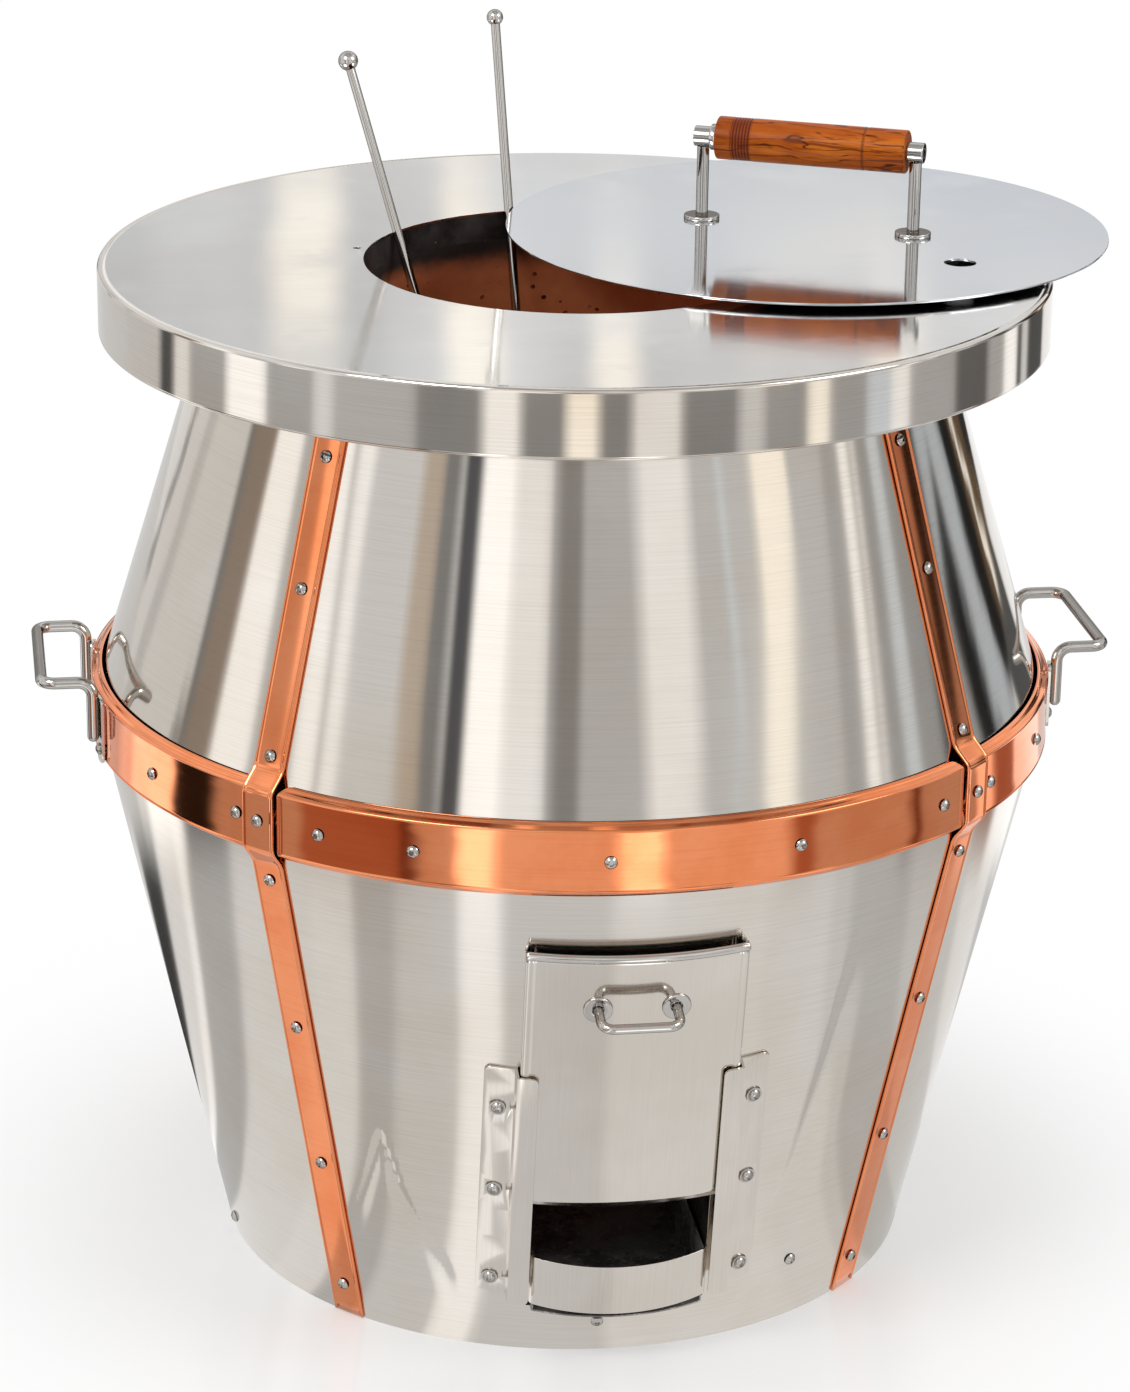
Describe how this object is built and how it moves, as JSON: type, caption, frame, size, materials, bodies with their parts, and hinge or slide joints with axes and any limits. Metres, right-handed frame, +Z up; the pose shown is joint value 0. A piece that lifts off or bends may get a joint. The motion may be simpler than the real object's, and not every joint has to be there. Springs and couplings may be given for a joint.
{
  "type": "charcoal tandoor",
  "caption": "Charcoal tandoor: clay pot in a waisted stainless barrel with copper belt and straps, sliding fire door, ash tray, lid with wooden grip and skewers.",
  "frame": {"origin": "centre of the flat base, on the floor", "axes": "+Z up; -Y towards the fire door at the front; +X to the right as seen from the front"},
  "size_m": [0.9324, 0.8382, 1.0379],
  "materials": {
    "polished_shell_steel": "bright rolled stainless sheet with soft vertical reflections",
    "brushed_deck_steel": "fine brushed stainless sheet",
    "brushed_shell_steel": "mill finish sheet",
    "satin_steel": "satin stainless sheet",
    "rod_steel": "polished stainless rod",
    "screw_steel": "stainless screw",
    "copper": "polished copper sheet",
    "sooty_steel": "black, sooted steel",
    "grate_iron": "cast iron",
    "terracotta": "unglazed clay with small pits",
    "refractory": "cast refractory",
    "fibre": "ceramic fibre blanket",
    "grip_wood": "oiled hardwood with dark grain"
  },
  "bodies": {
    "barrel": {"base_pan": "brushed_shell_steel", "lower_shell": "polished_shell_steel", "upper_shell": "polished_shell_steel", "neck_ring": "brushed_shell_steel", "top_deck": "brushed_deck_steel", "deck_rim": "polished_shell_steel", "mouth_collar": "sooty_steel", "clay_pot": "terracotta", "fibre_blanket": "fibre", "hearth_floor": "refractory", "hearth_left": "refractory", "hearth_right": "refractory", "hearth_back": "refractory", "hearth_cap": "refractory", "fire_grate": "grate_iron", "fire_duct": "sooty_steel", "belt_front": "copper", "belt_right": "copper", "belt_back": "copper", "belt_left": "copper", "strap_front_left": "copper", "strap_front_right": "copper", "strap_back_right": "copper", "strap_back_left": "copper", "belt_screws": "screw_steel", "strap_screws": "screw_steel", "base_screws": "screw_steel", "door_rail_left": "satin_steel", "door_rail_right": "satin_steel", "rail_screws": "screw_steel", "rail_washers": "screw_steel", "side_handle_left": "rod_steel", "side_handle_right": "rod_steel", "handle_plates_left": "satin_steel", "handle_plates_right": "satin_steel", "handle_screws": "screw_steel"},
    "door": {"door_panel": "satin_steel", "door_handle": "rod_steel", "door_handle_roses": "rod_steel", "door_handle_nuts": "screw_steel"},
    "ash_tray": {"ash_pan": "sooty_steel", "ash_tray_front": "satin_steel"},
    "lid": {"lid_plate": "brushed_deck_steel", "lid_ring": "satin_steel", "lid_post_flanges": "rod_steel", "lid_posts": "rod_steel", "lid_post_bosses": "rod_steel", "lid_nuts": "screw_steel", "grip_axle": "rod_steel", "grip_spacer": "rod_steel"},
    "grip": {"wood_grip": "grip_wood"},
    "skewer_left": {"skewer_left_rod": "rod_steel", "skewer_left_ball": "rod_steel"},
    "skewer_right": {"skewer_right_rod": "rod_steel", "skewer_right_ball": "rod_steel"}
  },
  "joints": [
    {"name": "door_slide", "type": "slide", "parent": "barrel", "child": "door", "axis": [0, -0.2183, 0.9759], "range_m": [-0.0565, 0.0515]},
    {"name": "ash_tray_slide", "type": "slide", "parent": "barrel", "child": "ash_tray", "axis": [0, -1, 0], "range_m": [0, 0.3]},
    {"name": "lid_lift", "type": "slide", "parent": "barrel", "child": "lid", "axis": [0, 0, 1], "range_m": [0, 0.3]},
    {"name": "grip_spin", "type": "hinge", "parent": "lid", "child": "grip", "pos_m": [0.211, 0.068, 0.9455], "axis": [0.9063, -0.4226, 0], "continuous": true},
    {"name": "skewer_left_pull", "type": "slide", "parent": "barrel", "child": "skewer_left", "axis": [-0.2579, 0.1922, 0.9469], "range_m": [0, 0.85]},
    {"name": "skewer_right_pull", "type": "slide", "parent": "barrel", "child": "skewer_right", "axis": [-0.0491, 0.2455, 0.9681], "range_m": [0, 0.85]}
  ]
}
